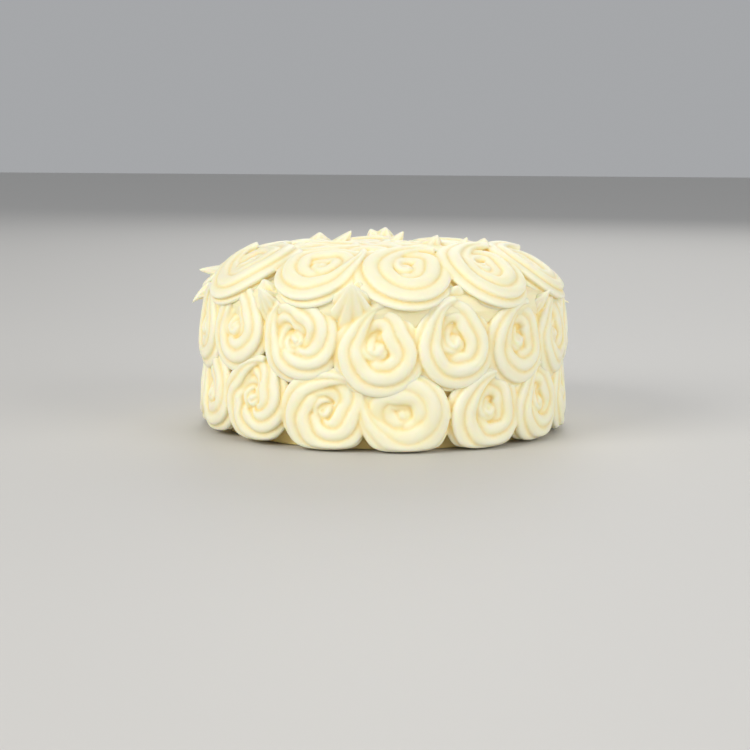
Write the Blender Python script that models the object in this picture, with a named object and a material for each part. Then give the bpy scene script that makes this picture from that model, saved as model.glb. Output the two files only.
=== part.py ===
# Six-inch round cake, frosted all over with piped rosettes, as one solid in metres with +Z up.
# The origin is on the base, on the axis of the cake. The front faces -Y.

import math
import random

import bmesh
import bpy
from mathutils import Vector

# Frosted body under the rosettes
CORE_RADIUS = 0.0785
CORE_HEIGHT = 0.0755
CORE_RIM_RADIUS = 0.010
CORE_RIM_STEPS = 4
CORE_SEGMENTS = 60

# Everything is modelled this far below the base, and then cut flat at z = 0
BELOW_BASE = 0.006

# Piped rope that each rosette is wound from
RIDGES_PER_TURN = 7
ROWS_ACROSS_ROPE = 4
ROPE_ROW_HEIGHTS = (0.50, 0.88, 1.00, 0.86)
RIDGE_RELIEF = 0.0011
ROSETTE_START_RADIUS = 0.0022
ROSETTE_TURNS = 1.2
ROSETTE_EDGE_HEIGHT = 0.34
ROSETTE_SINK = 0.0055
TAIL_SPREAD = math.radians(26)
TAIL_LIFT = 0.45

# Rows of rosettes, as (azimuth in degrees, height above the base, mean radius, tail angle in degrees).
# Azimuth 0 is the front and grows to the right. A tail angle of 90 points up.
SIDE_ROPE_HEIGHT = 0.0118
SIDE_TAIL = 0.0060
ROSETTES_PER_SIDE_ROW = 15
UPPER_ROW_FRONT = (
    (-52.0, 0.0520, 0.0195, 60),
    (-26.6, 0.0495, 0.0192, 128),
    (-1.7, 0.0455, 0.0205, 84),
    (21.8, 0.0485, 0.0200, 88),
    (45.0, 0.0475, 0.0198, 50),
    (68.0, 0.0480, 0.0195, 75),
)
UPPER_ROW_HEIGHT = 0.0485
LOWER_ROW_FRONT = (
    (-67.5, 0.0195, 0.0190, 110),
    (-43.9, 0.0205, 0.0200, 70),
    (-18.2, 0.0180, 0.0205, 20),
    (6.5, 0.0170, 0.0205, 150),
    (33.2, 0.0170, 0.0200, 60),
    (56.7, 0.0175, 0.0198, 80),
)
LOWER_ROW_HEIGHT = 0.0180

# Outer ring on top, which leans out over the rim, as (azimuth, mean radius, tail angle, direction)
RING_ROPE_HEIGHT = 0.0120
RING_TAIL = 0.0070
RING_LEAN = math.radians(28)
RING_CENTRE_RADIUS = 0.0610
RING_CENTRE_HEIGHT = 0.0675
ROSETTES_IN_RING = 10
RING_FRONT = (
    (-62.0, 0.0235, 62, 1),
    (-26.0, 0.0235, 50, 1),
    (8.4, 0.0240, 100, -1),
    (42.8, 0.0235, 95, -1),
    (77.5, 0.0230, 118, -1),
)

# Inner ring and the middle rosette
INNER_RING_RADIUS = 0.0305
INNER_RING_HEIGHT = 0.0752
INNER_RING_LEAN = math.radians(6)
INNER_RING_AZIMUTHS = (-8, 66, 137, 208, 282)
INNER_ROSETTE_RADIUS = 0.0222
MIDDLE_HEIGHT = 0.0765
MIDDLE_ROSETTE_RADIUS = 0.0172
MIDDLE_ROPE_HEIGHT = 0.0130

# Spread of the rosettes out of sight
SEED = 6
HEIGHT_SPREAD = 0.0020
RADIUS_SPREAD = 0.0009
TAIL_ANGLE_SPREAD = 40

MERGE_DISTANCE = 0.00005
KEPT_TRIANGLES = 10400
FROSTING_COLOUR = (0.93, 0.86, 0.62, 1.0)


def clear_scene():
    for old in list(bpy.data.objects):
        bpy.data.objects.remove(old, do_unlink=True)


def make_object(name, bm):
    """Turn a bmesh into an object in the scene."""
    mesh = bpy.data.meshes.new(name)
    bm.to_mesh(mesh)
    bm.free()
    obj = bpy.data.objects.new(name, mesh)
    bpy.context.scene.collection.objects.link(obj)
    return obj


def make_core():
    """The frosted body: a turned profile with a rounded rim."""
    bm = bmesh.new()
    outline = [Vector((0, 0, -BELOW_BASE)), Vector((CORE_RADIUS, 0, -BELOW_BASE))]
    for step in range(CORE_RIM_STEPS + 1):
        turn = math.radians(90) * step / CORE_RIM_STEPS
        outline.append(Vector((
            CORE_RADIUS - CORE_RIM_RADIUS * (1 - math.cos(turn)),
            0,
            CORE_HEIGHT - CORE_RIM_RADIUS * (1 - math.sin(turn)),
        )))
    outline.append(Vector((0, 0, CORE_HEIGHT)))
    points = [bm.verts.new(point) for point in outline]
    edges = [bm.edges.new(pair) for pair in zip(points, points[1:])]
    bmesh.ops.spin(
        bm,
        geom=points + edges,
        axis=(0, 0, 1),
        cent=(0, 0, 0),
        angle=math.tau,
        steps=CORE_SEGMENTS,
        use_merge=True,
    )
    bmesh.ops.remove_doubles(bm, verts=bm.verts, dist=MERGE_DISTANCE)
    bmesh.ops.recalc_face_normals(bm, faces=bm.faces)
    return make_object("core", bm)


class Rosette:
    """One wound rope. Its ridges cross the rope and run on over the crease into the next turn.

    The surface is a grid: line counts along the rope and row counts across it. A row step turns
    the point back, so that a whole rope width turns it back by half a turn, and the point
    (line, last row) is the same as the point (line + half a turn, first row).
    """

    def __init__(self, radius, rope_height, tail_length, tail_angle, direction):
        self.lines_per_turn = 2 * RIDGES_PER_TURN
        self.last_line = round(ROSETTE_TURNS * self.lines_per_turn)
        self.turns = self.last_line / self.lines_per_turn
        self.pitch = (radius - ROSETTE_START_RADIUS) / (self.turns + 0.25)
        self.radius = radius
        self.rope_height = rope_height
        self.tail_length = tail_length
        self.tail_angle = tail_angle
        self.direction = direction

    def key(self, line, row):
        """The grid point's name, the same for the two ways of counting a crease."""
        if row == ROWS_ACROSS_ROPE:
            return line + RIDGES_PER_TURN, 0
        return line, row

    def place(self, line, row, on_edge):
        """The point's place on the surface it is piped on, with its height above it."""
        along = line / self.lines_per_turn
        across = row / ROWS_ACROSS_ROPE
        turned = along - 0.5 * across
        distance = ROSETTE_START_RADIUS + self.pitch * (along + 0.5 * across)
        behind_tail = math.tau * (self.turns - turned)
        behind_tail = (behind_tail + math.pi) % math.tau - math.pi
        pull = math.exp(-(behind_tail / TAIL_SPREAD) ** 2) * min(1, distance / self.radius) ** 3
        distance += self.tail_length * pull
        angle = self.tail_angle - self.direction * behind_tail
        if on_edge:
            height = self.rope_height * ROSETTE_EDGE_HEIGHT
        else:
            height = self.rope_height * ROPE_ROW_HEIGHTS[row]
        if row:
            height += RIDGE_RELIEF * (1 if line % 2 == 0 else -1)
        height += self.tail_length * TAIL_LIFT * pull
        return distance * math.cos(angle), distance * math.sin(angle), height

    def edge_loop(self, first_line):
        """Grid points round the outline that starts on the crease at first_line."""
        loop = [(line, 0) for line in range(first_line, first_line + RIDGES_PER_TURN)]
        loop += [(first_line, row) for row in range(ROWS_ACROSS_ROPE, 0, -1)]
        return [self.key(*point) for point in loop]

    def build(self, name, onto):
        """Make the closed cap. The function onto puts a local point on the cake."""
        bm = bmesh.new()
        points = {}
        outer = self.edge_loop(self.last_line)
        for line in range(self.last_line + 1):
            for row in range(ROWS_ACROSS_ROPE + 1):
                key = self.key(line, row)
                if key not in points:
                    points[key] = bm.verts.new(onto(*self.place(*key, key in outer)))
        for line in range(self.last_line):
            for row in range(ROWS_ACROSS_ROPE):
                corners = (
                    (line, row),
                    (line + 1, row),
                    (line + 1, row + 1),
                    (line, row + 1),
                )
                bm.faces.new([points[self.key(*corner)] for corner in corners])
        self.close_middle(bm, points, onto)
        self.close_underside(bm, points, outer, onto)
        bmesh.ops.triangulate(bm, faces=bm.faces)
        bmesh.ops.recalc_face_normals(bm, faces=bm.faces)
        return make_object(name, bm)

    def close_middle(self, bm, points, onto):
        """The blob that the rope starts from."""
        inner = [points[key] for key in self.edge_loop(0)]
        middle = bm.verts.new(onto(0, 0, self.rope_height * ROPE_ROW_HEIGHTS[2]))
        for first, second in zip(inner, inner[1:] + inner[:1]):
            bm.faces.new((middle, first, second))

    def close_underside(self, bm, points, outer, onto):
        """A wall down into the body, and a floor there."""
        top = [points[key] for key in outer]
        low = []
        for key in outer:
            u, v, _ = self.place(*key, True)
            low.append(bm.verts.new(onto(u, v, -ROSETTE_SINK)))
        for index, corner in enumerate(top):
            after = (index + 1) % len(top)
            bm.faces.new((corner, top[after], low[after], low[index]))
        floor = bm.verts.new(onto(0, 0, -ROSETTE_SINK))
        for first, second in zip(low, low[1:] + low[:1]):
            bm.faces.new((floor, first, second))


def onto_side(azimuth, height):
    """Wrap local points round the side of the body."""
    def place(u, v, out):
        angle = azimuth + u / CORE_RADIUS
        distance = CORE_RADIUS + out
        return Vector((distance * math.sin(angle), -distance * math.cos(angle), height + v))
    return place


def onto_top(azimuth, distance, height, lean):
    """Lay local points on a plane that leans outwards."""
    outward = Vector((math.sin(azimuth), -math.cos(azimuth), 0))
    right = Vector((math.cos(azimuth), math.sin(azimuth), 0))
    up = Vector((0, 0, 1))
    centre = outward * distance + up * height
    uphill = up * math.sin(lean) - outward * math.cos(lean)
    normal = up * math.cos(lean) + outward * math.sin(lean)

    def place(u, v, out):
        return centre + right * u + uphill * v + normal * out
    return place


def fill_round(front, total):
    """Azimuths for the rest of a row, spaced evenly behind the ones given."""
    first = front[-1][0]
    step = (front[0][0] + 360 - first) / (total - len(front) + 1)
    return [first + step * (index + 1) for index in range(total - len(front))]


def side_row(name, front, row_height, draw):
    """A row of rosettes round the side."""
    row = list(front)
    mean_radius = sum(rosette[2] for rosette in front) / len(front)
    for azimuth in fill_round(front, ROSETTES_PER_SIDE_ROW):
        row.append((
            azimuth,
            row_height + draw.uniform(-HEIGHT_SPREAD, HEIGHT_SPREAD),
            mean_radius + draw.uniform(-RADIUS_SPREAD, RADIUS_SPREAD),
            90 + draw.uniform(-TAIL_ANGLE_SPREAD, TAIL_ANGLE_SPREAD),
        ))
    caps = []
    for index, (azimuth, height, radius, tail_angle) in enumerate(row):
        rosette = Rosette(radius, SIDE_ROPE_HEIGHT, SIDE_TAIL, math.radians(tail_angle), -1)
        caps.append(rosette.build(f"{name}_{index + 1}", onto_side(math.radians(azimuth), height)))
    return caps


def outer_ring(draw):
    """The ring of rosettes that leans out over the rim."""
    ring = list(RING_FRONT)
    mean_radius = sum(rosette[1] for rosette in RING_FRONT) / len(RING_FRONT)
    for azimuth in fill_round(RING_FRONT, ROSETTES_IN_RING):
        ring.append((
            azimuth,
            mean_radius + draw.uniform(-RADIUS_SPREAD, RADIUS_SPREAD),
            90 + draw.uniform(-TAIL_ANGLE_SPREAD, TAIL_ANGLE_SPREAD),
            -1,
        ))
    caps = []
    for index, (azimuth, radius, tail_angle, direction) in enumerate(ring):
        rosette = Rosette(radius, RING_ROPE_HEIGHT, RING_TAIL, math.radians(tail_angle), direction)
        onto = onto_top(math.radians(azimuth), RING_CENTRE_RADIUS, RING_CENTRE_HEIGHT, RING_LEAN)
        caps.append(rosette.build(f"ring_{index + 1}", onto))
    return caps


def inner_top(draw):
    """The inner ring and the rosette in the middle."""
    caps = []
    for index, azimuth in enumerate(INNER_RING_AZIMUTHS):
        tail_angle = 90 + draw.uniform(-TAIL_ANGLE_SPREAD, TAIL_ANGLE_SPREAD)
        rosette = Rosette(
            INNER_ROSETTE_RADIUS, RING_ROPE_HEIGHT, RING_TAIL, math.radians(tail_angle), -1
        )
        onto = onto_top(
            math.radians(azimuth), INNER_RING_RADIUS, INNER_RING_HEIGHT, INNER_RING_LEAN
        )
        caps.append(rosette.build(f"inner_{index + 1}", onto))
    middle = Rosette(
        MIDDLE_ROSETTE_RADIUS, MIDDLE_ROPE_HEIGHT, RING_TAIL, math.radians(90), -1
    )
    caps.append(middle.build("middle", onto_top(0, 0, MIDDLE_HEIGHT, 0)))
    return caps


def apply_modifiers(obj):
    """Replace the object's mesh by its evaluated one."""
    bpy.context.view_layer.update()
    depsgraph = bpy.context.evaluated_depsgraph_get()
    mesh = bpy.data.meshes.new_from_object(obj.evaluated_get(depsgraph))
    obj.modifiers.clear()
    obj.data = mesh


def join_all(core, caps):
    """One Boolean union of the body with every rosette."""
    piped = bpy.data.collections.new("piped_rosettes")
    bpy.context.scene.collection.children.link(piped)
    for cap in caps:
        bpy.context.scene.collection.objects.unlink(cap)
        piped.objects.link(cap)
    union = core.modifiers.new("join", "BOOLEAN")
    union.operation = "UNION"
    union.operand_type = "COLLECTION"
    union.collection = piped
    union.solver = "EXACT"
    apply_modifiers(core)
    for cap in caps:
        bpy.data.objects.remove(cap, do_unlink=True)
    bpy.data.collections.remove(piped)


def cut_base(cake):
    """Cut everything off below z = 0, so that the cake rests on a flat base."""
    bm = bmesh.new()
    bmesh.ops.create_cube(bm, size=1)
    slab_side = 4 * CORE_RADIUS
    slab_depth = 4 * BELOW_BASE
    bmesh.ops.scale(bm, vec=(slab_side, slab_side, slab_depth), verts=bm.verts)
    bmesh.ops.translate(bm, vec=(0, 0, -slab_depth / 2), verts=bm.verts)
    slab = make_object("base_cutter", bm)
    slab.hide_render = True
    slab.display_type = "WIRE"
    cut = cake.modifiers.new("flat base", "BOOLEAN")
    cut.operation = "DIFFERENCE"
    cut.object = slab
    cut.solver = "EXACT"
    apply_modifiers(cake)
    bpy.data.objects.remove(slab, do_unlink=True)


def islands(bm):
    """The mesh's separate shells, largest first."""
    left = set(bm.faces)
    shells = []
    while left:
        reached = [left.pop()]
        shell = []
        while reached:
            face = reached.pop()
            shell.append(face)
            for edge in face.edges:
                for other in edge.link_faces:
                    if other in left:
                        left.remove(other)
                        reached.append(other)
        shells.append(shell)
    return sorted(shells, key=len, reverse=True)


def keep_outer_shell(cake):
    """Fill sealed hollows and drop loose scraps."""
    bm = bmesh.new()
    bm.from_mesh(cake.data)
    for shell in islands(bm)[1:]:
        bmesh.ops.delete(bm, geom=shell, context="FACES")
    bmesh.ops.triangulate(bm, faces=bm.faces)
    bm.to_mesh(cake.data)
    bm.free()


def thin_slivers(cake):
    """Collapse the slivers that the union leaves where rosettes cross."""
    thin = cake.modifiers.new("thin slivers", "DECIMATE")
    thin.ratio = KEPT_TRIANGLES / len(cake.data.polygons)
    apply_modifiers(cake)


def frosting_material():
    material = bpy.data.materials.new("ivory frosting")
    material.use_nodes = True
    shader = material.node_tree.nodes["Principled BSDF"]
    shader.inputs["Base Color"].default_value = FROSTING_COLOUR
    shader.inputs["Roughness"].default_value = 0.5
    shader.inputs["Metallic"].default_value = 0.0
    return material


def main():
    clear_scene()
    draw = random.Random(SEED)
    cake = make_core()
    caps = side_row("lower", LOWER_ROW_FRONT, LOWER_ROW_HEIGHT, draw)
    caps += side_row("upper", UPPER_ROW_FRONT, UPPER_ROW_HEIGHT, draw)
    caps += outer_ring(draw)
    caps += inner_top(draw)
    join_all(cake, caps)
    cut_base(cake)
    keep_outer_shell(cake)
    thin_slivers(cake)
    cake.name = "frosted_cake"
    cake.data.name = "frosted_cake"
    cake.data.materials.clear()
    cake.data.materials.append(frosting_material())
    cake.data.shade_smooth()
    cake.data.set_sharp_from_angle(angle=math.radians(50))


main()
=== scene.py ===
import math
import random

import bmesh
import bpy
import numpy as np
from mathutils import Matrix, Vector


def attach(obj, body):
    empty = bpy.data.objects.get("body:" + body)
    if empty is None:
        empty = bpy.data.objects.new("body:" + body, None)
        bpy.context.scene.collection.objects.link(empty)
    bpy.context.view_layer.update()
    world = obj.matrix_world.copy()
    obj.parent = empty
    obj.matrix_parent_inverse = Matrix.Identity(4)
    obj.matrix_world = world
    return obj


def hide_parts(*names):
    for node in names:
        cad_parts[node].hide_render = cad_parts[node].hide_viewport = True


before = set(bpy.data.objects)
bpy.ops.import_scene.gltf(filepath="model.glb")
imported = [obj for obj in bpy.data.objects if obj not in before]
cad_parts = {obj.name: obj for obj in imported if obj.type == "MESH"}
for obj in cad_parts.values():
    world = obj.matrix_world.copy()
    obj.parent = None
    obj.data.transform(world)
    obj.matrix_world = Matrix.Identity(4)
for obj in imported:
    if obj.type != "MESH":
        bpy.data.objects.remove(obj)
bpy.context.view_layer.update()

mm = 0.001


# Piping: the rope that the star tip lays down

ropeLook = {
    "radius": 20 * mm,  # of the rosette; the stroke below is for this one and follows it
    "thickness": 11.8 * mm,
    # along the stroke: degrees left to the tip, outer edge's distance from the middle, width
    "stroke": (
        (520, 4.8, 10.0), (470, 7.6, 9.4), (430, 12.5, 12.5), (395, 17.5, 15.5), (360, 21.3, 18.0),
        (325, 20.2, 18.0), (270, 20.0, 18.6), (180, 20.0, 19.6), (110, 20.0, 18.5), (70, 20.1, 15.0),
        (40, 20.2, 10.5), (18, 20.1, 6.5), (0, 19.8, 2.2),
    ),
    "curl": 1.0,  # how far the stroke winds up in the middle
    "shoulder": 0.045,  # how much narrower the rosette is on both sides of its tip
    "ridges": 7,
    "ridgeDepth": 0.26,
    "ridgeTwist": 0.3,  # how far the ridges turn round the rope for each turn of the rosette
    "grooveSharpness": 0.6,
    "pointsAround": 90,
    "step": 0.55 * mm,  # distance between rings along the rope
    "tall": 1.10,  # how much the rosette is drawn out upwards
    "startHeight": 0.95,
    "dip": 0.24,  # how much lower the stroke runs where its end will lie over it
    "startRidge": 0.6,  # how deep the ridges are in the curl at the middle
    "outerLift": 0.8 * mm,  # the last turn rides a little over the first
}

# How the hand eases the stroke in and out. Angles are in degrees: "From" and "At" count back from
# the tip, "Over" and "Wide" say how far the change takes, and "Aside" is to each side of the tip.
handLook = {
    "samples": 900,
    "easeSamples": 61,  # an odd number, over which the turns of the stroke are rounded
    "edgeWobble": 0.4 * mm,
    "sizeWobble": 0.03,
    "tailFrom": 90,
    "pinchFrom": 370, "pinchOver": 50, "pinchAside": 52, "pinchWide": 32,
    "leadSamples": 40,
    "fewestRings": 40,
    "fullWidth": 18 * mm,  # where the rope is narrower than this, its end gets flatter too
    "taperFrom": 150, "taperPower": 0.75,
    "riseOver": 200,  # from the start of the stroke
    "dipAt": 388, "dipWide": 42,
    "lastTurnFrom": 330, "lastTurnOver": 140,
    "tailLiftFrom": 100,
    "taperLift": 0.6, "startLift": 0.5,
    "ridgeOver": 2.0,  # radians from the start until the ridges are at full depth
}

skinLook = {
    "voxel": 0.55 * mm,
    "smoothFactor": 0.5,
    "smoothRounds": 1,
    "mostTriangles": 190000,
    "leastVolume": 20 * mm ** 3,  # anything smaller that hangs loose is a crumb or a bubble
    "hollowRounds": 14,  # how far round a point its hollow is judged over
}


# A value near the middle one, at most so far below and above it
def near(draw, middle, below, above=None):
    return middle + draw.uniform(-below, below if above is None else above)


def smoothStep(x):
    x = np.clip(x, 0, 1)
    return x * x * (3 - 2 * x)


# Slow unevenness along a path, about -1 to 1
def handWobble(draw, along, waves=4):
    total = np.zeros_like(along)
    for wave in range(1, waves + 1):
        size = math.sin(draw.uniform(0, math.tau)) / wave
        total += size * np.sin(along * wave * 1.3 + draw.uniform(0, math.tau))
    return total


# Rounds the corners off a row of evenly spaced values
def eased(values):
    window = handLook["easeSamples"]
    return np.convolve(np.pad(values, window // 2, mode="edge"), np.ones(window) / window, "valid")


# The rope's run in the rosette's own plane, as a dictionary of arrays
def rosettePath(rosette, draw):
    look = dict(ropeLook)
    look.update(rosette)
    hand = handLook
    direction = look["direction"]
    growth = look["radius"] / ropeLook["radius"]
    stations = np.array(look["stroke"], dtype=float)
    left = np.where(stations[:, 0] > 360, 360 + (stations[:, 0] - 360) * look["curl"], stations[:, 0])
    left = np.radians(left)
    total = left[0]
    turned = np.linspace(0, total, hand["samples"])
    before = total - turned
    edge, width = (
        eased(np.interp(turned, total - left, stations[:, column])) * growth * mm for column in (1, 2))
    edge = edge + handWobble(draw, turned) * hand["edgeWobble"] * np.clip(turned / math.tau, 0, 1)
    edge = edge + look["tail"] * np.clip(1 - before / math.radians(hand["tailFrom"]), 0, 1) ** 2
    aside = np.abs((before + math.pi) % math.tau - math.pi)
    outside = smoothStep((math.radians(hand["pinchFrom"]) - before) / math.radians(hand["pinchOver"]))
    besideTip = np.exp(
        -((aside - math.radians(hand["pinchAside"])) / math.radians(hand["pinchWide"])) ** 2)
    edge = edge * (1 - look["shoulder"] * outside * besideTip)
    reach = edge - width / 2
    angle = look["tailAngle"] - before * direction
    u = reach * np.cos(angle)
    v = reach * np.sin(angle) * look["tall"]
    # a straight lead-in behind the start, rounded off below
    halfStart = width[0] * 0.5
    heading = np.array([u[3] - u[0], v[3] - v[0]])
    heading /= np.hypot(*heading)
    back = np.linspace(-halfStart, -0.02 * halfStart, hand["leadSamples"])
    u = np.concatenate([u[0] + back * heading[0], u])
    v = np.concatenate([v[0] + back * heading[1], v])
    turned = np.concatenate([np.zeros(len(back)), turned])
    before = np.concatenate([np.full(len(back), total), before])
    width = np.concatenate([np.full(len(back), width[0]), width])
    # spread the points evenly along the rope
    length = np.concatenate([[0], np.cumsum(np.hypot(np.diff(u), np.diff(v)))])
    count = max(hand["fewestRings"], int(length[-1] / look["step"]))
    even = np.linspace(0, length[-1], count)
    turned, before, width, u, v = (
        np.interp(even, length, values) for values in (turned, before, width, u, v))
    round0 = np.sqrt(np.clip(1 - (1 - np.clip(even / halfStart, 0, 1)) ** 2, 0.0004, 1))
    full = hand["fullWidth"] * growth
    narrowed = np.clip(width / full, 0, 1) ** hand["taperPower"]
    taper = np.where(before < math.radians(hand["taperFrom"]), narrowed, 1)
    rise = smoothStep(turned / math.radians(hand["riseOver"]))
    rise = look["startHeight"] + (1 - look["startHeight"]) * rise
    underEnd = np.exp(-((before - math.radians(hand["dipAt"])) / math.radians(hand["dipWide"])) ** 2)
    rise = rise * (1 - look["dip"] * underEnd)
    wide = width * round0 * (1 + hand["sizeWobble"] * handWobble(draw, turned))
    high = look["thickness"] * taper * rise * round0
    high = high * (1 + hand["sizeWobble"] * handWobble(draw, turned))
    over = smoothStep((math.radians(hand["lastTurnFrom"]) - before) / math.radians(hand["lastTurnOver"]))
    tail = np.clip(1 - before / math.radians(hand["tailLiftFrom"]), 0, 1)
    lift = look["outerLift"] * over + look["tailLift"] * tail ** 2
    lift = lift + look["thickness"] * (1 - taper) * hand["taperLift"]
    lift = lift + look["thickness"] * (1 - round0) * hand["startLift"]
    du, dv = np.gradient(u), np.gradient(v)
    step = np.hypot(du, dv) + 1e-12
    du, dv = du / step, dv / step
    heading = np.unwrap(np.arctan2(dv, du)) * direction
    return {
        "u": u, "v": v, "lift": lift + look["sink"],
        "sideU": direction * dv, "sideV": -direction * du,
        "wide": wide, "high": high,
        "turned": heading * look["ridgeTwist"] + look["phase"],
        "ridge": look["ridgeDepth"] * (
            look["startRidge"] + (1 - look["startRidge"]) * smoothStep(turned / hand["ridgeOver"])),
    }


peakLook = {"samples": 60, "belly": 1.3, "point": 0.9, "tipWidth": 0.03, "turn": 0.4, "droop": 1.6}


# A small pulled peak: a straight rope that rises off the surface to a point
def peakPath(peak):
    look = peakLook
    along = np.linspace(0, 1, look["samples"])
    size = (1 - along ** look["belly"]) ** look["point"] * (1 - look["tipWidth"]) + look["tipWidth"]
    size = size * peak["width"]
    zero = np.zeros(look["samples"])
    return {
        "along": along, "u": zero, "v": zero, "wide": size, "high": size,
        "turned": zero + peak["phase"] + along * look["turn"], "ridge": zero + peak["ridge"],
    }


# Runs a peak from its foot to its tip, first straight off the surface
def ontoFoot(peak):
    foot, tip, normal, right, upright = (
        np.array(peak[key]) for key in ("foot", "tip", "normal", "right", "upright"))
    reach = float((tip - foot) @ normal)
    bend = tip - foot - normal * reach

    def place(path):
        along = path["along"][:, None]
        centre = foot + normal * reach * along + bend * along ** peak.get("droop", peakLook["droop"])
        centre = centre - upright * (path["wide"][:, None] / 2)
        return centre, np.repeat(right[None], len(centre), 0), np.repeat(upright[None], len(centre), 0)
    return place


# Wraps a rosette round the side of the cake
def ontoSide(azimuth, height, bodyRadius, lean=0.0):
    def place(path):
        angle = azimuth + path["u"] / bodyRadius
        out = bodyRadius + path["lift"] - lean * path["v"]
        zero = np.zeros_like(angle)
        up = np.stack([np.sin(angle), -np.cos(angle), zero], 1)
        right = np.stack([np.cos(angle), np.sin(angle), zero], 1)
        centre = up * out[:, None]
        centre[:, 2] = height + path["v"]
        side = right * path["sideU"][:, None]
        side[:, 2] = path["sideV"]
        return centre, side, up
    return place


# Lays a rosette on the top, on a surface that leans outwards and bends over the shoulder
def ontoTop(azimuth, distance, height, lean, bend=0.001, hug=0.0):
    outward = np.array([math.sin(azimuth), -math.cos(azimuth), 0])
    right = np.array([math.cos(azimuth), math.sin(azimuth), 0])
    upright = np.array([0, 0, 1.0])

    def place(path):
        slope = lean - bend * path["v"]
        away = distance - (math.sin(lean) - np.sin(slope)) / bend - hug * path["u"] ** 2 * np.sin(slope)
        above = height + (np.cos(slope) - math.cos(lean)) / bend
        uphill = np.outer(np.sin(slope), upright) - np.outer(np.cos(slope), outward)
        normal = np.outer(np.cos(slope), upright) + np.outer(np.sin(slope), outward)
        centre = np.outer(away, outward) + np.outer(above, upright) + np.outer(path["u"], right)
        centre = centre + normal * path["lift"][:, None]
        side = right * path["sideU"][:, None] + uphill * path["sideV"][:, None]
        return centre, side, normal
    return place


# Every rope of a row as one mesh of bare lines that carry the rope's sizes
def ropeLines(name, runs):
    starts, centres, fields = 0, [], {key: [] for key in ("side", "up", "wide", "high", "turned", "ridge")}
    edges = []
    for path, place in runs:
        centre, side, up = place(path)
        count = len(centre)
        edges += [(starts + i, starts + i + 1) for i in range(count - 1)]
        starts += count
        centres.append(centre)
        fields["side"].append(side)
        fields["up"].append(up)
        for key in ("wide", "high", "turned", "ridge"):
            fields[key].append(np.broadcast_to(path[key], count))
    centres = np.concatenate(centres)
    mesh = bpy.data.meshes.new(name)
    mesh.from_pydata(centres.tolist(), edges, [])
    fields["centre"] = [centres]
    for key, parts in fields.items():
        values = np.concatenate(parts)
        kind, slot = ("FLOAT_VECTOR", "vector") if values.ndim == 2 else ("FLOAT", "value")
        mesh.attributes.new(key, kind, "POINT").data.foreach_set(slot, values.astype(np.float32).ravel())
    lines = bpy.data.objects.new(name, mesh)
    bpy.context.scene.collection.objects.link(lines)
    return lines


def addNode(tree, kind, **settings):
    node = tree.nodes.new(kind)
    for key, value in settings.items():
        setattr(node, key, value)
    return node


# A Math node. A value is a number or another node's output
def calculate(tree, operation, *values):
    node = addNode(tree, "ShaderNodeMath", operation=operation)
    for socket, value in zip(node.inputs, values):
        if isinstance(value, (int, float)):
            socket.default_value = value
        else:
            tree.links.new(value, socket)
    return node.outputs[0]


def calculateVector(tree, operation, first, second=None, scale=None):
    node = addNode(tree, "ShaderNodeVectorMath", operation=operation)
    tree.links.new(first, node.inputs[0])
    if second is not None:
        tree.links.new(second, node.inputs[1])
    if scale is not None:
        tree.links.new(scale, node.inputs["Scale"])
    return node.outputs[0]


def readField(tree, name, kind="FLOAT"):
    node = addNode(tree, "GeometryNodeInputNamedAttribute", data_type=kind)
    node.inputs["Name"].default_value = name
    return node.outputs["Attribute"]


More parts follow.
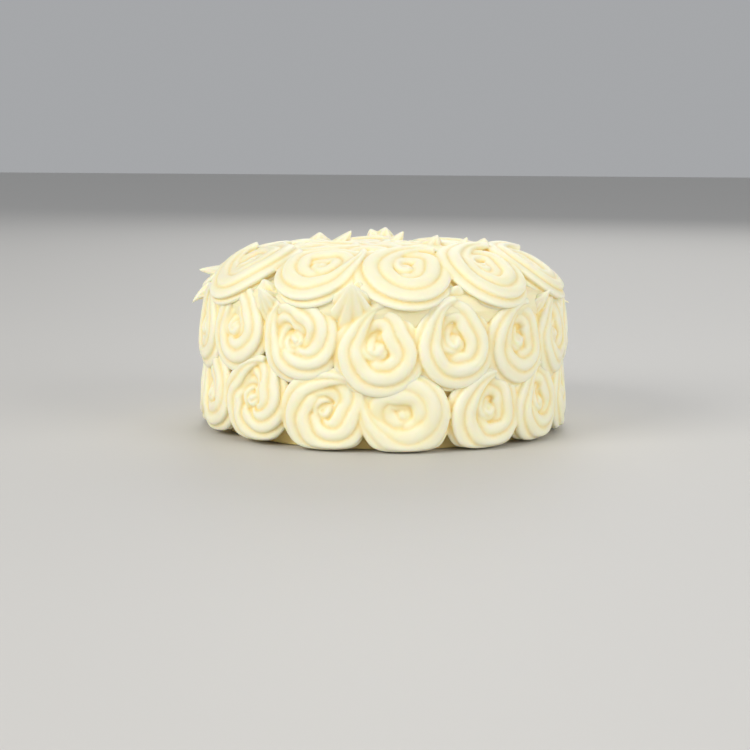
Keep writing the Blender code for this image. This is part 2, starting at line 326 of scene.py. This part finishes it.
# Sweeps a star along every line: a round section whose ridges keep the nozzle's own direction
def buildRopeTree():
    tree = bpy.data.node_groups.new("pipedRope", "GeometryNodeTree")
    tree.interface.new_socket("Geometry", in_out="INPUT", socket_type="NodeSocketGeometry")
    for name, kind in (("Points Around", "Int"), ("Ridges", "Int"), ("Groove Sharpness", "Float")):
        tree.interface.new_socket(name, in_out="INPUT", socket_type="NodeSocket" + kind)
    tree.interface.new_socket("Frosting", in_out="INPUT", socket_type="NodeSocketMaterial")
    tree.interface.new_socket("Geometry", in_out="OUTPUT", socket_type="NodeSocketGeometry")
    given = addNode(tree, "NodeGroupInput").outputs
    result = addNode(tree, "NodeGroupOutput").inputs
    link = tree.links.new

    lines = addNode(tree, "GeometryNodeMeshToCurve")
    link(given["Geometry"], lines.inputs["Mesh"])
    section = addNode(tree, "GeometryNodeCurvePrimitiveCircle", mode="RADIUS")
    section.inputs["Radius"].default_value = mm
    link(given["Points Around"], section.inputs["Resolution"])
    factor = addNode(tree, "GeometryNodeSplineParameter").outputs["Factor"]
    marked = addNode(tree, "GeometryNodeStoreNamedAttribute", data_type="FLOAT", domain="POINT")
    marked.inputs["Name"].default_value = "around"
    link(section.outputs["Curve"], marked.inputs["Geometry"])
    link(calculate(tree, "MULTIPLY", factor, math.tau), marked.inputs["Value"])
    sweep = addNode(tree, "GeometryNodeCurveToMesh")
    sweep.inputs["Fill Caps"].default_value = True
    link(lines.outputs["Curve"], sweep.inputs["Curve"])
    link(marked.outputs["Geometry"], sweep.inputs["Profile Curve"])

    around = readField(tree, "around")
    phase = calculate(tree, "SUBTRACT", around, readField(tree, "turned"))
    halfRidges = calculate(tree, "MULTIPLY", given["Ridges"], 0.5)
    wave = calculate(tree, "COSINE", calculate(tree, "MULTIPLY", phase, halfRidges))
    wave = calculate(tree, "ABSOLUTE", wave)
    crest = calculate(tree, "POWER", wave, given["Groove Sharpness"])
    groove = calculate(tree, "SUBTRACT", 1.0, crest)
    star = calculate(tree, "SUBTRACT", 1.0, calculate(tree, "MULTIPLY", groove, readField(tree, "ridge")))
    halfWide = calculate(tree, "MULTIPLY", readField(tree, "wide"), 0.5)
    halfHigh = calculate(tree, "MULTIPLY", readField(tree, "high"), 0.5)
    across = calculate(tree, "MULTIPLY", star, calculate(tree, "COSINE", around))
    across = calculate(tree, "MULTIPLY", halfWide, across)
    above = calculate(tree, "MULTIPLY", star, calculate(tree, "SINE", around))
    above = calculate(tree, "MULTIPLY", halfHigh, above)
    above = calculate(tree, "ADD", above, halfHigh)
    sideways = calculateVector(tree, "SCALE", readField(tree, "side", "FLOAT_VECTOR"), scale=across)
    upwards = calculateVector(tree, "SCALE", readField(tree, "up", "FLOAT_VECTOR"), scale=above)
    spot = calculateVector(tree, "ADD", readField(tree, "centre", "FLOAT_VECTOR"), sideways)
    spot = calculateVector(tree, "ADD", spot, upwards)
    move = addNode(tree, "GeometryNodeSetPosition")
    link(sweep.outputs["Mesh"], move.inputs["Geometry"])
    link(spot, move.inputs["Position"])
    real = addNode(tree, "GeometryNodeRealizeInstances")
    link(move.outputs["Geometry"], real.inputs["Geometry"])
    paint = addNode(tree, "GeometryNodeSetMaterial")
    link(real.outputs["Geometry"], paint.inputs["Geometry"])
    link(given["Frosting"], paint.inputs["Material"])
    link(paint.outputs["Geometry"], result["Geometry"])
    return tree


def setTreeInputs(modifier, values):
    for item in modifier.node_group.interface.items_tree:
        if item.item_type == "SOCKET" and item.in_out == "INPUT" and item.name in values:
            modifier[item.identifier] = values[item.name]


# The object's evaluated mesh, with its modifiers gone
def plainMesh(obj):
    bpy.context.view_layer.update()
    graph = bpy.context.evaluated_depsgraph_get()
    mesh = bpy.data.meshes.new_from_object(obj.evaluated_get(graph))
    obj.modifiers.clear()
    obj.data = mesh
    return obj


def triangleCount(mesh):
    return sum(len(face.vertices) - 2 for face in mesh.polygons)


baseLook = {
    "soft": 5.0 * mm,  # frosting lower than this is squeezed up
    "press": 0.45 * mm,
}


# Presses what would hang below the base up against it, softly
def settle(piece):
    soft = baseLook["soft"]
    mesh = piece.data
    spots = np.empty(len(mesh.vertices) * 3)
    mesh.vertices.foreach_get("co", spots)
    height = spots[2::3]
    low = height < soft
    height[low] = soft * np.exp((height[low] - soft) / soft)
    height[low] -= baseLook["press"] * (1 - height[low] / soft)
    mesh.vertices.foreach_set("co", spots)
    mesh.update()


# The number of the loose shell that each point belongs to
def shellOfPoints(count, edges):
    shell = np.arange(count)
    while True:
        one, other = shell[edges[:, 0]], shell[edges[:, 1]]
        apart = one != other
        if not apart.any():
            return shell
        np.minimum.at(shell, np.maximum(one, other)[apart], np.minimum(one, other)[apart])
        while (shell[shell] != shell).any():
            shell = shell[shell]


# Takes out the shells of closed bubbles inside the frosting, which turn inwards, and crumbs
def dropBubbles(piece):
    bm = bmesh.new()
    bm.from_mesh(piece.data)
    bmesh.ops.triangulate(bm, faces=bm.faces)
    bm.verts.ensure_lookup_table()
    spots = np.array([spot.co for spot in bm.verts])
    edges = np.array([[spot.index for spot in edge.verts] for edge in bm.edges])
    corners = np.array([[spot.index for spot in face.verts] for face in bm.faces])
    shell = shellOfPoints(len(spots), edges)
    a, b, c = (spots[corners[:, corner]] for corner in range(3))
    volumes = np.bincount(shell[corners[:, 0]], (a * np.cross(b, c)).sum(1) / 6, len(spots))
    kept = int((volumes >= skinLook["leastVolume"]).sum())
    stray = np.flatnonzero(volumes[shell] < skinLook["leastVolume"])
    if len(stray):
        bmesh.ops.delete(bm, geom=[bm.verts[index] for index in stray], context="VERTS")
        bm.to_mesh(piece.data)
    bm.free()
    print("kept", kept, "shells of", piece.name, "and took out", len(stray), "loose points")


# Melts crossing ropes into a single soft skin
def oneSkin(piece):
    look = skinLook
    remesh = piece.modifiers.new("one skin", "REMESH")
    remesh.mode = "VOXEL"
    remesh.voxel_size = look["voxel"]
    remesh.use_smooth_shade = True
    soften = piece.modifiers.new("soften", "SMOOTH")
    soften.factor = look["smoothFactor"]
    soften.iterations = look["smoothRounds"]
    plainMesh(piece)
    triangles = triangleCount(piece.data)
    if triangles > look["mostTriangles"]:
        thin = piece.modifiers.new("thin", "DECIMATE")
        thin.ratio = look["mostTriangles"] / triangles
        plainMesh(piece)
    dropBubbles(piece)
    piece.data.shade_smooth()
    return piece


# Stores how deep each point lies in a crease, which sets the painted shade in the frosting's colour: darker
# and yellower in creases, paler on crests
def markHollows(piece):
    mesh = piece.data
    count = len(mesh.vertices)
    spots = np.empty(count * 3)
    mesh.vertices.foreach_get("co", spots)
    spots = spots.reshape(-1, 3)
    normals = np.empty(count * 3, np.float32)
    mesh.vertices.foreach_get("normal", normals)
    normals = normals.reshape(-1, 3)
    edges = np.empty(len(mesh.edges) * 2, np.int32)
    mesh.edges.foreach_get("vertices", edges)
    edges = edges.reshape(-1, 2)
    ends = np.concatenate([edges[:, 0], edges[:, 1]])
    others = np.concatenate([edges[:, 1], edges[:, 0]])
    degree = np.bincount(ends, minlength=count)[:, None]
    soft = spots.copy()
    for _ in range(skinLook["hollowRounds"]):
        total = np.stack([np.bincount(ends, soft[others, axis], count) for axis in range(3)], 1)
        soft = total / degree
    hollow = ((soft - spots) * normals).sum(1) / mm
    mesh.attributes.new("hollow", "FLOAT", "POINT").data.foreach_set("value", hollow.astype(np.float32))
    print("hollows", piece.name, np.round(np.percentile(hollow, [1, 10, 50, 90, 99]), 2))


# Pipes a group of rosettes and melts it into one piece
def pipeRow(name, rosettes, tree, frosting, peaks=()):
    runs = []
    for rosette in rosettes:
        draw = random.Random(rosette["seed"])
        runs.append((rosettePath(rosette, draw), rosette["place"]))
    for peak in peaks:
        runs.append((peakPath(peak), ontoFoot(peak)))
    piece = ropeLines(name, runs)
    piping = piece.modifiers.new("piping", "NODES")
    piping.node_group = tree
    setTreeInputs(piping, {
        "Points Around": ropeLook["pointsAround"],
        "Ridges": ropeLook["ridges"],
        "Groove Sharpness": ropeLook["grooveSharpness"],
        "Frosting": frosting,
    })
    plainMesh(piece)
    print("piped", name, len(rosettes), "rosettes,", triangleCount(piece.data), "triangles as ropes")
    settle(piece)
    oneSkin(piece)
    markHollows(piece)
    piece.data.materials.clear()
    piece.data.materials.append(frosting)
    print("melted", name, triangleCount(piece.data), "triangles")
    return piece


# Layout of the rosettes, the same as the solid's. Sizes in millimetres, angles in degrees.

sideLook = {"bodyRadius": 78.5, "sink": -0.9, "tail": 0.2, "tailLift": 0.4, "direction": -1}
ringLook = {
    "distance": 68.0, "height": 74.0, "lean": 29.0,
    "bend": 15.0,  # radians for each metre up the slope
    "hug": 5.0,  # how fast it falls away sideways, round the rim
    "sink": -1.0, "tail": 0.8, "tailLift": 0.8, "tall": 1.0,
    "ridgeDepth": 0.3, "dip": 0.12,
}

# a stroke whose curl closes up in the middle
closedStroke = (
    (500, 5.4, 11.0), (460, 9.0, 13.0), (420, 13.8, 16.4), (385, 18.6, 18.6), (360, 21.0, 19.4),
    (325, 20.2, 19.0), (270, 20.0, 19.0), (180, 20.0, 19.8), (110, 20.0, 18.5), (70, 20.1, 15.0),
    (40, 20.4, 10.5), (18, 20.9, 6.5), (0, 21.4, 2.2),
)
upperFront = (
    {"azimuth": -52.0, "height": 52.0, "radius": 19.5, "tailAngle": 80, "ridgeTwist": 0.4, "phase": 0.4},
    {"azimuth": -26.6, "height": 49.5, "radius": 19.4, "tailAngle": 122, "ridgeTwist": 0.75, "phase": 2.0,
     "startRidge": 0.9, "curl": 1.3},
    {"azimuth": -1.7, "height": 45.5, "radius": 20.7, "tailAngle": 82, "ridgeTwist": 0.25, "phase": 1.1,
     "tall": 1.12, "tail": 0.0, "shoulder": 0.075},
    {"azimuth": 21.8, "height": 48.5, "radius": 20.0, "tailAngle": 88, "ridgeTwist": 0.25, "phase": 0.2,
     "tall": 1.15, "tail": 0.0, "shoulder": 0.075},
    {"azimuth": 45.0, "height": 47.5, "radius": 19.8, "tailAngle": 62, "ridgeTwist": 0.3, "phase": 1.7,
     "tall": 1.12},
    {"azimuth": 68.0, "height": 48.0, "radius": 19.5, "tailAngle": 75, "ridgeTwist": 0.4, "phase": 2.6},
)
lowerFront = (
    {"azimuth": -67.5, "height": 19.0, "radius": 19.4, "tailAngle": 110, "ridgeTwist": 0.4, "phase": 0.3},
    {"azimuth": -43.9, "height": 20.0, "radius": 20.4, "tailAngle": 70, "ridgeTwist": 0.9, "phase": 1.4,
     "startRidge": 1.0, "curl": 0.9, "ridgeDepth": 0.28},
    {"azimuth": -18.2, "height": 17.2, "radius": 20.8, "tailAngle": 40, "ridgeTwist": 0.6, "phase": 0.9,
     "startRidge": 1.0, "startHeight": 0.82, "curl": 1.25},
    {"azimuth": 6.5, "height": 16.4, "radius": 20.8, "tailAngle": 150, "ridgeTwist": 0.35, "phase": 2.4,
     "ridgeDepth": 0.16, "startHeight": 0.8, "dip": 0.1, "stroke": closedStroke},
    {"azimuth": 33.2, "height": 16.6, "radius": 20.3, "tailAngle": 60, "ridgeTwist": 0.35, "phase": 0.7},
    {"azimuth": 56.7, "height": 17.2, "radius": 20.0, "tailAngle": 80, "ridgeTwist": 0.4, "phase": 1.9},
)
ringFront = (
    {"azimuth": -60.0, "radius": 24.0, "tailAngle": 148, "direction": -1, "ridgeTwist": 0.2, "phase": 0.5,
     "ridgeDepth": 0.28, "tail": 4.0, "tailLift": 3.0},
    {"azimuth": -24.5, "radius": 22.0, "tailAngle": 52, "direction": 1, "ridgeTwist": 0.3, "phase": 1.5,
     "tail": 1.0, "tall": 0.95, "tailLift": 2.0, "dip": 0.0, "startRidge": 0.4, "stroke": closedStroke},
    {"azimuth": 7.4, "radius": 24.0, "tailAngle": 48, "direction": -1, "ridgeTwist": 0.2, "phase": 0.8,
     "tall": 0.93, "tail": 3.0, "tailLift": 2.5},
    {"azimuth": 39.5, "radius": 23.5, "tailAngle": 42, "direction": -1, "ridgeTwist": 0.25, "phase": 2.2,
     "tail": 4.0, "tailLift": 3.5},
    {"azimuth": 71.5, "radius": 23.2, "tailAngle": 22, "direction": -1, "ridgeTwist": 0.3, "phase": 1.0,
     "tail": 3.0, "tailLift": 3.0},
)
innerAzimuths = (-8, 66, 137, 208, 282)
innerLook = {"distance": 31.5, "height": 77.3, "lean": 7}
middleHeight = 78

sideRound = 15  # rosettes in each row round the side
ringRound = 10
ringSeed, innerSeed, middleSeed = 300, 400, 450

# Rosettes out of sight: the middle value, and how far one may be from it
unseenLook = {
    "rowHeight": 2, "sideRadius": (20.1, 0.9), "ringRadius": (24.4, 0.7), "tailAngle": (90, 40),
    "curlRange": (0.8, 1.4), "twistRange": (0.2, 0.6),
}
unseenRing = {"direction": -1, "tail": -0.5, "tailLift": 0.2, "distance": 66.2, "height": 73.6, "sink": -1.6}

sidePeakLook = {"foot": 79.0, "ridge": 0.34, "fallingDroop": 3.2}
topPeakLook = {"foot": 80.0, "footBehind": 2, "ridge": 0.24}

# small pulled peaks that fill the gaps under the ring, and stray tips:
# azimuth, height, how far the point bends right and up, width, reach
fillerPeaks = (
    (-38.0, 61.0, -1.0, 12.0, 20.0, 12.0),
    (-10.2, 59.0, 1.5, 17.5, 32.0, 12.5),
    (-8.5, 64.5, 0.5, 13.0, 22.0, 4.5),
    (23.5, 64.0, 0.0, 11.0, 22.0, 4.5),
    (-42.0, 65.0, 1.0, 11.0, 22.0, 4.5),
    (57.0, 60.0, 2.5, 11.0, 15.0, 12.0),
    (-88.0, 65.8, 0.0, -6.8, 13.0, 14.8),
    (-86.0, 75.0, 0.0, 0.8, 6.5, 11.6),
    (90.0, 62.0, 0.0, -2.5, 4.0, 13.5),
)

# pulled peaks on the top: x, y and height of the tip, how far it leans in x, width of the foot
crownPeaks = (
    (-6.7, 56.0, 92.6, -7.0, 24.0),
    (1.0, 57.0, 93.4, 3.0, 26.0),
    (26.0, 0.0, 93.0, 7.0, 26.0),
    (48.3, -14.0, 92.6, 4.0, 24.0),
    (-32.5, 40.0, 91.6, 1.0, 24.0),
    (-16.4, 40.0, 92.6, 9.0, 17.0),
    (10.2, 42.0, 92.4, 8.0, 16.0),
    (41.5, 20.0, 90.8, 5.0, 16.0),
    (-20.0, -44.0, 89.0, 1.0, 22.0),
    (40.0, -22.0, 88.5, 1.0, 22.0),
    (-49.0, 4.0, 89.0, -1.0, 22.0),
)


# Azimuths of the rosettes out of sight, spaced evenly behind the ones in sight
def fillRound(front, total):
    last = front[-1]["azimuth"]
    step = (front[0]["azimuth"] + 360 - last) / (total - len(front) + 1)
    return [last + step * (index + 1) for index in range(total - len(front))]


lengths = ("radius", "tail", "tailLift", "sink")


# One rosette's settings, in metres and radians
def readySettings(row, look, draw, seed):
    twist = draw.uniform(*unseenLook["twistRange"])
    settings = {"ridgeTwist": twist, "phase": draw.uniform(0, math.tau), "seed": seed}
    settings.update(look)
    settings.update(row)
    for key in lengths:
        settings[key] *= mm
    settings["tailAngle"] = math.radians(settings["tailAngle"])
    return settings


def sideRow(front, draw, height, lean, seed):
    row = list(front)
    for azimuth in fillRound(front, sideRound):
        row.append({
            "azimuth": azimuth, "height": near(draw, height, unseenLook["rowHeight"]),
            "radius": near(draw, *unseenLook["sideRadius"]),
            "tailAngle": near(draw, *unseenLook["tailAngle"]),
            "curl": draw.uniform(*unseenLook["curlRange"]),
        })
    rosettes = []
    for index, place in enumerate(row):
        rosette = readySettings(place, sideLook, draw, seed + index)
        rosette["place"] = ontoSide(
            math.radians(place["azimuth"]), place["height"] * mm, sideLook["bodyRadius"] * mm, lean)
        rosettes.append(rosette)
    return rosettes


def sidePeaks(rows, draw):
    peaks = []
    for azimuth, height, bendRight, bendUp, width, reach in rows:
        turn = math.radians(azimuth)
        outward = np.array([math.sin(turn), -math.cos(turn), 0])
        right = np.array([math.cos(turn), math.sin(turn), 0])
        foot = (outward * sidePeakLook["foot"] + np.array([0, 0, height])) * mm
        peaks.append({
            "foot": foot,
            "tip": foot + (outward * reach + right * bendRight + np.array([0, 0, bendUp])) * mm,
            "normal": outward, "right": right, "upright": (0, 0, 1.0),
            "width": width * mm, "phase": draw.uniform(0, math.tau), "ridge": sidePeakLook["ridge"],
            "droop": sidePeakLook["fallingDroop"] if bendUp < 0 else peakLook["droop"],
        })
    return peaks


# Star peaks under the ring all round the back, one between each two rosettes of the ring
def backFillers(draw):
    azimuths = [ringFront[-1]["azimuth"]] + fillRound(ringFront, ringRound)
    azimuths.append(ringFront[0]["azimuth"] + 360)
    reach = 10.5
    rows = []
    for one, other in zip(azimuths, azimuths[1:]):
        azimuth = near(draw, (one + other) / 2, 2)
        height = near(draw, 59, 1)
        bendRight = near(draw, 0, 1)
        bendUp = near(draw, 12, 1, 2)
        width = near(draw, 27, 3)
        rows.append((azimuth, height, bendRight, bendUp, width, reach))
    # the first and the last would show at the sides of the front
    return rows[1:-1]


# Low star peaks in the gaps between the ring and the rosettes inside it
def topFillers(draw):
    halfStep, width = 17, 23.0
    rows = []
    for azimuth in [place["azimuth"] for place in ringFront] + fillRound(ringFront, ringRound):
        turn = math.radians(near(draw, azimuth + halfStep, 2))
        away = near(draw, 47, 1.5)
        x, y = away * math.sin(turn), -away * math.cos(turn)
        height = near(draw, 88, 0.5)
        rows.append((x, y, height, near(draw, 0, 1), width))
    return rows


def topPeaks(rows, draw):
    peaks = []
    for x, y, height, leanX, width in rows:
        foot = np.array([x - leanX, y + topPeakLook["footBehind"], topPeakLook["foot"]]) * mm
        peaks.append({
            "foot": foot, "tip": np.array([x, y, height]) * mm,
            "normal": (0, 0, 1.0), "right": (1.0, 0, 0), "upright": (0, 1.0, 0),
            "width": width * mm, "phase": draw.uniform(0, math.tau), "ridge": topPeakLook["ridge"],
        })
    return peaks


def topRosettes(draw):
    ring = list(ringFront)
    for azimuth in fillRound(ringFront, ringRound):
        radius = near(draw, *unseenLook["ringRadius"])
        tailAngle = near(draw, *unseenLook["tailAngle"])
        ring.append({"azimuth": azimuth, "radius": radius, "tailAngle": tailAngle, **unseenRing})
    outer = []
    for index, place in enumerate(ring):
        rosette = readySettings(place, ringLook, draw, ringSeed + index)
        rosette["place"] = ontoTop(
            math.radians(place["azimuth"]), rosette["distance"] * mm, rosette["height"] * mm,
            math.radians(ringLook["lean"]), ringLook["bend"], ringLook["hug"])
        outer.append(rosette)
    inner = []
    for index, azimuth in enumerate(innerAzimuths):
        place = {
            "radius": 25.0, "tailAngle": near(draw, *unseenLook["tailAngle"]), "direction": -1,
            "tail": -1.0, "tailLift": -0.5, "shoulder": 0.0,
        }
        rosette = readySettings(place, ringLook, draw, innerSeed + index)
        rosette["place"] = ontoTop(
            math.radians(azimuth), innerLook["distance"] * mm, innerLook["height"] * mm,
            math.radians(innerLook["lean"]))
        inner.append(rosette)
    place = {"radius": 19.0, "tailAngle": 90, "direction": -1, "tail": -1.0, "tailLift": -0.5}
    rosette = readySettings(place, ringLook, draw, middleSeed)
    rosette["place"] = ontoTop(0, 0, middleHeight * mm, 0)
    inner.append(rosette)
    return outer, inner


# Frosted body that shows in the gaps

coatLook = {
    # radius and height of the outline's turns, from the base up
    "outline": (
        (77.5, 0), (77.5, 4), (82.5, 10), (82.5, 48), (83.5, 54), (85.2, 59),
        (86.2, 63), (85.0, 69), (70, 78.6), (54, 82.8), (40, 83), (0, 83),
    ),
    "around": 240, "steps": 8,
    "mergeWithin": 0.01 * mm,
    "paleAbove": 50,  # the coat above this height shows as open frosting, below it only in deep gaps, where it gets the painted shade of a deep crease
    "openHollow": 0.0, "gapShade": 0.6,
}


def makeCoat(frosting):
    look = coatLook
    outline = [(0, 0)]
    for (radius, height), (nextRadius, nextHeight) in zip(look["outline"], look["outline"][1:]):
        for step in range(look["steps"]):
            along = step / look["steps"]
            outline.append((
                (radius + (nextRadius - radius) * along) * mm,
                (height + (nextHeight - height) * along) * mm,
            ))
    outline.append((0, look["outline"][-1][1] * mm))
    bm = bmesh.new()
    points = [bm.verts.new((r, 0, z)) for r, z in outline]
    edges = [bm.edges.new(pair) for pair in zip(points, points[1:])]
    bmesh.ops.spin(bm, geom=points + edges, axis=(0, 0, 1), cent=(0, 0, 0), angle=math.tau,
                   steps=look["around"], use_merge=True)
    bmesh.ops.remove_doubles(bm, verts=bm.verts, dist=look["mergeWithin"])
    bmesh.ops.recalc_face_normals(bm, faces=bm.faces)
    mesh = bpy.data.meshes.new("crumbCoat")
    bm.to_mesh(mesh)
    bm.free()
    mesh.shade_smooth()
    coat = bpy.data.objects.new("crumbCoat", mesh)
    bpy.context.scene.collection.objects.link(coat)
    paleAbove = look["paleAbove"] * mm
    # below paleAbove the coat is given painted shade, the darker yellow of a deep crease
    hollow = [look["openHollow" if spot.co.z > paleAbove else "gapShade"] for spot in mesh.vertices]
    mesh.attributes.new("hollow", "FLOAT", "POINT").data.foreach_set("value", hollow)
    mesh.materials.append(frosting)
    return coat


# Finish

frostingLook = {
    # painted shade: the frosting's colour runs from pale on the crests to darker, yellower in the creases
    "crest": (0.95, 0.915, 0.72),
    "slope": (0.945, 0.87, 0.59),
    "foldShade": (0.93, 0.73, 0.31),
    "crestStop": 0.05, "slopeStop": 0.42, "foldStop": 0.95,
    "shallowest": -0.45, "deepest": 0.55,  # hollows, in millimetres, at the ends of the colours
    "roughness": 0.42,
    "ior": 1.42,
    "gloss": 0.35,
    "glow": 0.5, "glowColours": (1.0, 0.75, 0.35), "glowReach": 1.2 * mm,
    "grainScale": 900, "grainDetail": 3, "grainStrength": 0.12, "grainDepth": 0.3 * mm,
}


def buildFrosting():
    look = frostingLook
    material = bpy.data.materials.new("ivoryFrosting")
    material.use_nodes = True
    tree = material.node_tree
    link = tree.links.new
    shader = tree.nodes["Principled BSDF"]
    shader.inputs["Subsurface Weight"].default_value = look["glow"]
    shader.inputs["Subsurface Radius"].default_value = look["glowColours"]
    shader.inputs["Subsurface Scale"].default_value = look["glowReach"]
    shader.inputs["IOR"].default_value = look["ior"]
    shader.inputs["Specular IOR Level"].default_value = look["gloss"]
    where = addNode(tree, "ShaderNodeTexCoord").outputs["Object"]
    # the crease depth picks the painted shade, darker and yellower deep in creases and paler on crests
    hollow = addNode(tree, "ShaderNodeAttribute", attribute_name="hollow").outputs["Fac"]
    depth = addNode(tree, "ShaderNodeMapRange")
    link(hollow, depth.inputs["Value"])
    depth.inputs["From Min"].default_value = look["shallowest"]
    depth.inputs["From Max"].default_value = look["deepest"]
    paintedShade = addNode(tree, "ShaderNodeValToRGB")
    link(depth.outputs["Result"], paintedShade.inputs["Fac"])
    stops = paintedShade.color_ramp.elements
    stops[0].position, stops[0].color = look["crestStop"], (*look["crest"], 1)
    stops[1].position, stops[1].color = look["foldStop"], (*look["foldShade"], 1)
    middle = stops.new(look["slopeStop"])
    middle.color = (*look["slope"], 1)
    link(paintedShade.outputs["Color"], shader.inputs["Base Color"])
    shader.inputs["Roughness"].default_value = look["roughness"]
    grain = addNode(tree, "ShaderNodeTexNoise")
    grain.inputs["Scale"].default_value = look["grainScale"]
    grain.inputs["Detail"].default_value = look["grainDetail"]
    link(where, grain.inputs["Vector"])
    bump = addNode(tree, "ShaderNodeBump")
    bump.inputs["Strength"].default_value = look["grainStrength"]
    bump.inputs["Distance"].default_value = look["grainDepth"]
    link(grain.outputs["Fac"], bump.inputs["Height"])
    link(bump.outputs["Normal"], shader.inputs["Normal"])
    return material


floorLook = {"halfSize": 4, "below": 0.4 * mm, "colour": (0.60, 0.59, 0.57), "roughness": 0.6}


def buildFloor():
    mesh = bpy.data.meshes.new("floor")
    bm = bmesh.new()
    bmesh.ops.create_grid(bm, x_segments=1, y_segments=1, size=floorLook["halfSize"])
    bmesh.ops.translate(bm, vec=(0, 0, -floorLook["below"]), verts=bm.verts)
    bm.to_mesh(mesh)
    bm.free()
    floor = bpy.data.objects.new("floor", mesh)
    bpy.context.scene.collection.objects.link(floor)
    material = bpy.data.materials.new("paleFloor")
    material.use_nodes = True
    shader = material.node_tree.nodes["Principled BSDF"]
    shader.inputs["Base Color"].default_value = (*floorLook["colour"], 1)
    shader.inputs["Roughness"].default_value = floorLook["roughness"]
    mesh.materials.append(material)
    return floor


# Soft studio light, in metres and watts: place, width and height, power, colour
lightLook = {
    "key": ((-1.10, -0.90, 0.80), (0.9, 0.7), 14.5, (1.0, 0.975, 0.93)),
    "fill": ((1.15, -0.80, 0.50), (1.0, 0.8), 8.5, (1.0, 0.985, 0.96)),
    "front": ((0.0, -1.5, 0.8), (0.8, 0.5), 1.2, (1.0, 0.985, 0.96)),
    "top": ((0.1, 0.4, 1.2), (1.0, 1.0), 2.0, (1.0, 0.99, 0.97)),
    "rear": ((0.3, 1.5, 0.9), (1.2, 0.8), 6.0, (1.0, 0.99, 0.97)),
}
lightTarget = (0, 0, 0.05)
skyLook = {"colour": (0.95, 0.97, 1.0), "strength": 0.40}


def addLight(name, place, size, power, colour):
    lamp = bpy.data.lights.new(name, "AREA")
    lamp.shape = "RECTANGLE"
    lamp.size, lamp.size_y = size
    lamp.energy = power
    lamp.color = colour
    obj = bpy.data.objects.new(name, lamp)
    obj.location = place
    obj.rotation_euler = (Vector(lightTarget) - Vector(place)).to_track_quat("-Z", "Y").to_euler()
    bpy.context.scene.collection.objects.link(obj)
    return obj


# The photograph's camera, fitted from the cake's outline
cameraLook = {
    "focalPixels": 1949, "framePixels": 750, "sensor": 36, "nearest": 0.01,
    "place": (-0.0039, -0.952, 0.151), "pitchDown": 7.61, "roll": 0.4,
}


def buildCamera():
    data = bpy.data.cameras.new("camera")
    data.sensor_width = cameraLook["sensor"]
    data.lens = cameraLook["sensor"] * cameraLook["focalPixels"] / cameraLook["framePixels"]
    data.clip_start = cameraLook["nearest"]
    camera = bpy.data.objects.new("camera", data)
    camera.location = cameraLook["place"]
    tilt = Matrix.Rotation(math.radians(90 - cameraLook["pitchDown"]), 4, "X")
    roll = Matrix.Rotation(math.radians(cameraLook["roll"]), 4, "Z")
    camera.rotation_euler = (tilt @ roll).to_euler()
    bpy.context.scene.collection.objects.link(camera)
    bpy.context.scene.camera = camera


def buildLight():
    world = bpy.data.worlds.new("studio")
    world.use_nodes = True
    sky = world.node_tree.nodes["Background"]
    sky.inputs["Color"].default_value = (*skyLook["colour"], 1)
    sky.inputs["Strength"].default_value = skyLook["strength"]
    bpy.context.scene.world = world
    for name, settings in lightLook.items():
        addLight(name, *settings)
    bpy.context.scene.view_settings.view_transform = "Standard"


layoutSeed = 6
# each row and the ring are two pieces, split after this many rosettes, to keep each one light
sideSplit, ringSplit = 8, 5


def main():
    draw = random.Random(layoutSeed)
    frosting = buildFrosting()
    tree = buildRopeTree()
    lower = sideRow(lowerFront, draw, height=18.0, lean=0.0, seed=100)
    upper = sideRow(upperFront, draw, height=50.3, lean=0.05, seed=200)
    outer, inner = topRosettes(draw)
    pieces = [
        pipeRow("lowerRow1", lower[:sideSplit], tree, frosting),
        pipeRow("lowerRow2", lower[sideSplit:], tree, frosting),
        pipeRow("upperRow1", upper[:sideSplit], tree, frosting, sidePeaks(fillerPeaks, draw)),
        pipeRow("upperRow2", upper[sideSplit:], tree, frosting, sidePeaks(backFillers(draw), draw)),
        pipeRow("rimRing1", outer[:ringSplit], tree, frosting),
        pipeRow("rimRing2", outer[ringSplit:], tree, frosting),
        pipeRow("topSwirls", inner, tree, frosting, topPeaks([*crownPeaks, *topFillers(draw)], draw)),
        makeCoat(frosting),
    ]
    for piece in pieces:
        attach(piece, "root")
    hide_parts("frosted_cake")
    buildFloor()
    buildLight()
    buildCamera()


main()
